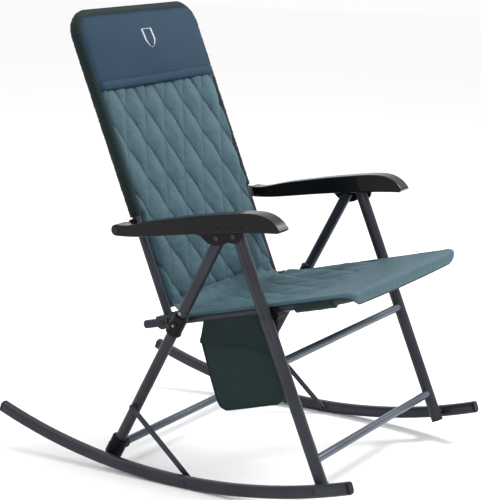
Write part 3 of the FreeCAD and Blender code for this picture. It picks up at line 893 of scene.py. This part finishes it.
def seat_top(u, v):
    x, ahead, half, level = seat_place(u, v)
    quilted = min(1.0, max(0.0, (seat_quilt_end - ahead) / 0.02))
    a, b = seam_distance(x, ahead + seat_quilt_shift)
    near_edge = min(1.0, (half - abs(x)) / seat_edge_width)
    lift = seat_lift * (min(1.0, a * 2.0) * min(1.0, b * 2.0)) ** 0.5 * quilted * near_edge
    loose = near_edge * min(1.0, (seat_nose - ahead) / 0.03)
    ripple = 0.0030 * noise.noise(Vector((x * 9.0, ahead * 15.0, 9.0)))
    ridge = 0.0050 * noise.noise(Vector((x * 5.0 + ahead * 9.0, ahead * 3.0, 4.0)))
    tug = 0.0012 * noise.noise(Vector((x * 7.0, ahead * 75.0, 2.0))) * math.exp(
        -(half - abs(x)) / 0.045)
    return on_seat(x, ahead, level + lift + (ripple + ridge) * loose + tug * near_edge
                   + pucker(x, ahead, a, b) * quilted * near_edge)


def seat_bottom(u, v):
    x, ahead, _, level = seat_place(u, v)
    return on_seat(x, ahead, level - seat_thickness)


seat_columns = 160
seat_rows = 110
seat_sheet = slab_mesh("seat_sheet", seat_columns, seat_rows, seat_top, seat_bottom)
held = np.ones(len(seat_sheet.data.vertices), bool)
valley_shade = np.zeros(len(seat_sheet.data.vertices))
for j in range(seat_rows + 1):
    for i in range(seat_columns + 1):
        x, ahead, half, _ = seat_place(i / seat_columns, j / seat_rows)
        a, b = seam_distance(x, ahead + seat_quilt_shift)
        k = j * (seat_columns + 1) + i
        if ahead < seat_quilt_end:
            valley_shade[k] = seam_shade_amount(a, b, 0.030, 0.022, 0.45)
            inside = j >= 2 and half - abs(x) > 0.020
            if inside and a > seat_free_from and b > seat_free_from:
                held[k] = False
puff(seat_sheet, held, pressure=4.0, grow=-0.004, cap=0.005)
# Painted shade: the seat's seam valleys are darkened in colour by this mask.
paint_seam_shade(seat_sheet, valley_shade * 0.85)
paint(seat_sheet, teal)
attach(seat_sheet, "seat")
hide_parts("seat_cloth")


seat_line = (rail_x, seat_rear, seat_nose, seat_bend)
edge_length = round_u_length(*seat_line)


corner_point = 0.0100
front_droop = 0.010


def hem_point(distance, degrees, radius):
    # A point on the cloth round the tube; 0 degrees is the top and 90 the outer side.
    x, ahead, nx, na = round_u(distance, *seat_line)
    out = radius * math.sin(math.radians(degrees))
    square = corner_point * (4 * nx * nx * na * na) * math.sin(math.radians(max(0.0, degrees)))
    droop = 0.0
    if degrees > 90:
        middle_run = math.sin(math.pi * distance / edge_length) ** 2
        droop = -front_droop * na * na * (degrees - 90) / 60 * middle_run
    return on_seat(x + nx * (out + square), ahead + na * (out + square),
                   radius * math.cos(math.radians(degrees)) + droop + 0.5 * square)


def hem_last(distance):
    # The cloth ends lower on the tube at the front than along the sides.
    outward = round_u(distance, *seat_line)
    return 66.0 + 84.0 * outward[3] * outward[3]


hem_steps = 420
hem_around = 16
hem_overlap = 24.0
hem_points = []
for i in range(hem_steps + 1):
    distance = edge_length * i / hem_steps
    last = hem_last(distance)
    for k in range(hem_around + 1):
        degrees = -hem_overlap + (last + hem_overlap) * k / hem_around
        ripple = 0.0007 * noise.noise(Vector((distance * 55.0, k * 0.3, 6.0)))
        hem_points.append(hem_point(distance, degrees, wrap + ripple))
seat_hem = thin_sheet("seat_hem", hem_points, hem_steps, hem_around, 0.0014, 0.0, turned=True)
paint(seat_hem, teal)
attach(seat_hem, "seat")

hem_line = []
hem_line_steps = 300
for i in range(hem_line_steps + 1):
    distance = edge_length * i / hem_line_steps
    hem_line.append(hem_point(distance, hem_last(distance), wrap + 0.0004))
seat_piping = wrapped_tube("seat_piping", hem_line, 0.0015, 8)
paint(seat_piping, pocket_cloth)
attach(seat_piping, "seat")

# ---------------------------------------------------------------- crease
# Loose gathered cloth, sewn to both pads, joins the seat to the back behind the sitter.  It is
# two strips, one on each side of the hinge line.
crease_half = 0.2215
crease_columns = 130
crease_rows = 22
crease_on_seat = (0.060, 0.0100)
crease_on_back = (0.044, 0.0085)
belly_on_seat = (0.012, 0.0030)
belly_on_back = (0.010, 0.0080)


def crease_point(u, t):
    # t runs from 0 on the seat to 1 on the back, round a curve that hangs behind the sitter.
    x = (2 * u - 1) * crease_half
    start = on_seat(x, *crease_on_seat)
    end = on_back(x, *crease_on_back)
    belly = (on_seat(x, *belly_on_seat) + on_back(x, *belly_on_back)) / 2
    fold = (0.0035 * noise.noise(Vector((x * 34.0, t * 3.0, 5.0)))
            + 0.0016 * noise.noise(Vector((x * 90.0, t * 5.0, 9.0))))
    place = start * (1 - t) ** 2 + belly * 2 * t * (1 - t) + end * t ** 2
    return place + (seat_above + back_front) * fold * 0.6


def crease_piece(name, low_end, high_end):
    points = []
    for j in range(crease_rows + 1):
        t = low_end + (high_end - low_end) * j / crease_rows
        for i in range(crease_columns + 1):
            points.append(crease_point(i / crease_columns, t))
    piece = thin_sheet(name, points, crease_rows, crease_columns, 0.002, 0.0)
    paint(piece, teal)
    return piece


crease_seat = crease_piece("crease_seat", 0.0, 0.5)
crease_back = crease_piece("crease_back", 0.5, 1.0)
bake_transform(crease_seat)
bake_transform(crease_back)

# ---------------------------------------------------------------- rail sleeves
# A dark sleeve of cloth is closed round each side rail behind the front corner, over the
# seat's hem.  It grips the tube and has small wrinkles.
sleeve_front = 0.450
sleeve_length = 0.096
sleeve_drop = 0.0024
sleeve_radius = 0.0136
sleeve_steps = 60
hinge_middle = Vector((0, hinge.y, hinge.z))
for label, side in (("right", -1), ("left", 1)):
    line = []
    for i in range(sleeve_steps + 1):
        line.append(on_seat(side * rail_x, sleeve_front - sleeve_length * (i / sleeve_steps),
                            -sleeve_drop))
    sleeve = wrapped_tube("sleeve_" + label, line, sleeve_radius, 32)
    for vertex in sleeve.data.vertices:
        place = vertex.co.copy()
        along = (place - hinge_middle).dot(seat_along)
        centre = on_seat(side * rail_x, along, -sleeve_drop)
        ripple = 0.0007 * noise.noise(Vector((place.x * 70.0, along * 45.0, place.z * 70.0)))
        vertex.co = place + (place - centre).normalized() * ripple
    paint(sleeve, pocket_cloth)
    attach(sleeve, "seat")
    if side < 0:
        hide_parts("rail_sleeves")

# ---------------------------------------------------------------- side pocket
# A dark pocket, sewn to the cloth on the right rail, hangs from it: a plain flap over a bag of
# knitted net, with piping round its edge.
pocket_low, pocket_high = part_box("side_pocket")
pocket_x = (pocket_low.x + pocket_high.x) / 2
pocket_thick = 0.0026
pocket_bulge = 0.0060
block_rear = -0.2085
block_step = 0.006
top_under_rail = 0.0260
top_step = 0.0146
pocket_front = [(-0.2500, 0.405), (-0.2550, 0.330), (-0.2620, 0.276), (-0.2690, 0.218)]
pocket_rear = [(-0.0680, 0.376), (-0.0555, 0.330), (-0.0790, 0.250), (-0.1050, 0.173)]


def along_edge(edge, v):
    # A place on one of the pocket's upright edges, from 0 at the rail to 1 at the bottom.
    spot = min(2.9999, max(0.0, v) * 3)
    i = int(spot)
    t = spot - i
    return (edge[i][0] * (1 - t) + edge[i + 1][0] * t, edge[i][1] * (1 - t) + edge[i + 1][1] * t)


def pocket_grid(u, v):
    # Spans the two edges, and fits the top row under the rail, lower in front where the rail's
    # pivot block hangs.
    fy, fz = along_edge(pocket_front, v)
    ry, rz = along_edge(pocket_rear, v)
    y = fy * (1 - u) + ry * u
    z = fz * (1 - u) + rz * u
    rail_z = hinge.z + (hinge.y - y) * math.tan(tilt)
    notch = min(1.0, max(0.0, (y - block_rear) / block_step))
    top = rail_z - (top_under_rail - top_step * notch)
    return y, z + (top - z) * max(0.0, 1 - v * 5.0)


def pocket_round(u, v):
    # Rounds the two bottom corners.
    round_from = 0.88
    if v > round_from:
        over = (v - round_from) / 0.12
        pull = 0.10 * (1 - math.sqrt(max(0.0, 1 - over ** 2)))
        u = pull + u * (1 - 2 * pull)
    return u, v


def pocket_outer(u, v):
    ru, rv = pocket_round(u, v)
    y, z = pocket_grid(ru, rv)
    bag = max(0.0, (v - 0.30) / 0.70)
    side = math.sin(math.pi * u) ** 0.6
    bulge = pocket_bulge * side * math.sin(math.pi * min(1.0, bag * 0.92 + 0.04))
    crease = 0.0016 * noise.noise(Vector((y * 20.0, z * 26.0, 1.0))) * side
    return Vector((pocket_x - pocket_thick - bulge - crease, y, z))


def pocket_inner(u, v):
    ru, rv = pocket_round(u, v)
    y, z = pocket_grid(ru, rv)
    return Vector((pocket_x + pocket_thick + 0.0014 * math.sin(math.pi * u), y, z))


def net_material():
    # Knitted net: dark cords round small open cells, lighter than the lining behind.
    material = cloth_material("pocket_net", (0.003, 0.009, 0.010), (0.010, 0.026, 0.028), 0.6,
                              0.1, 300.0, 0.2)
    tree = material.node_tree
    place = tree.nodes.new("ShaderNodeTexCoord")
    cells = tree.nodes.new("ShaderNodeTexVoronoi")
    cells.feature = "DISTANCE_TO_EDGE"
    cells.inputs["Scale"].default_value = 260.0
    cells.inputs["Randomness"].default_value = 0.25
    band = tree.nodes.new("ShaderNodeMapRange")
    band.inputs["From Min"].default_value = 0.10
    band.inputs["From Max"].default_value = 0.22
    band.inputs["To Min"].default_value = 1.0
    band.inputs["To Max"].default_value = 0.0
    tone = tree.nodes.new("ShaderNodeMix")
    tone.data_type = "RGBA"
    tone.inputs["A"].default_value = (0.0030, 0.0095, 0.0100, 1.0)
    tone.inputs["B"].default_value = (0.0100, 0.0260, 0.0270, 1.0)
    flatten = tree.nodes.new("ShaderNodeVectorMath")
    flatten.operation = "MULTIPLY"
    flatten.inputs[1].default_value = (0.0, 1.0, 1.0)
    tree.links.new(place.outputs["Object"], flatten.inputs[0])
    tree.links.new(flatten.outputs["Vector"], cells.inputs["Vector"])
    tree.links.new(cells.outputs["Distance"], band.inputs["Value"])
    tree.links.new(band.outputs["Result"], tone.inputs["Factor"])
    tree.links.new(tone.outputs["Result"],
                   tree.nodes["Principled BSDF"].inputs["Base Color"])
    return material


pocket_net = net_material()
pocket = slab_mesh("pocket_bag", 60, 84, pocket_outer, pocket_inner)
paint(pocket, pocket_net)
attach(pocket, "seat")
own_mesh(pocket)
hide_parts("side_pocket")


flap_share = 0.345
flap_wave = 0.030
flap_lift = 0.016
flap_thickness = 0.0020


def flap_outer(u, v):
    # Lies on the bag's upper third with a wavy lower edge and a turned hem.
    wave = flap_wave * math.sin(2.6 * math.pi * u + 0.7) * v ** 3
    place = pocket_outer(u, v * (flap_share + wave))
    place.z += flap_lift * max(0.0, 1 - v * 4.0) * min(1.0, max(0.0, (u - 0.26) / 0.05))
    fold = 0.0014 * math.sin(9.0 * u + 3.0 * v) * v
    edge = 0.0016 * math.exp(-((1 - v) / 0.05) ** 2)
    return place + Vector((-pocket_thick - fold - edge, -0.004 + 0.008 * u, 0))


def flap_inner(u, v):
    return flap_outer(u, v) + Vector((flap_thickness, 0, 0))


flap = slab_mesh("pocket_flap", 60, 30, flap_outer, flap_inner)
paint(flap, pocket_cloth)
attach(flap, "seat")
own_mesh(flap)

piping_from = 0.30
piping_steps = 24
piping_radius = 0.0028
piping_path = (
    [(0.0, piping_from + 0.70 * k / piping_steps) for k in range(piping_steps + 1)]
    + [(k / piping_steps, 1.0) for k in range(1, piping_steps + 1)]
    + [(1.0, 1.0 - 0.70 * k / piping_steps) for k in range(1, piping_steps + 1)])
piping_inset = 0.0005
trim = []
for u, v in piping_path:
    place = pocket_outer(u, v)
    trim.append((place.x + piping_inset, place.y, place.z))
piping = wrapped_tube("pocket_piping", trim, piping_radius, 12)
paint(piping, pocket_cloth)
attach(piping, "seat")
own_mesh(piping)

# ---------------------------------------------------------------- overall bounds
low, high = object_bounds()
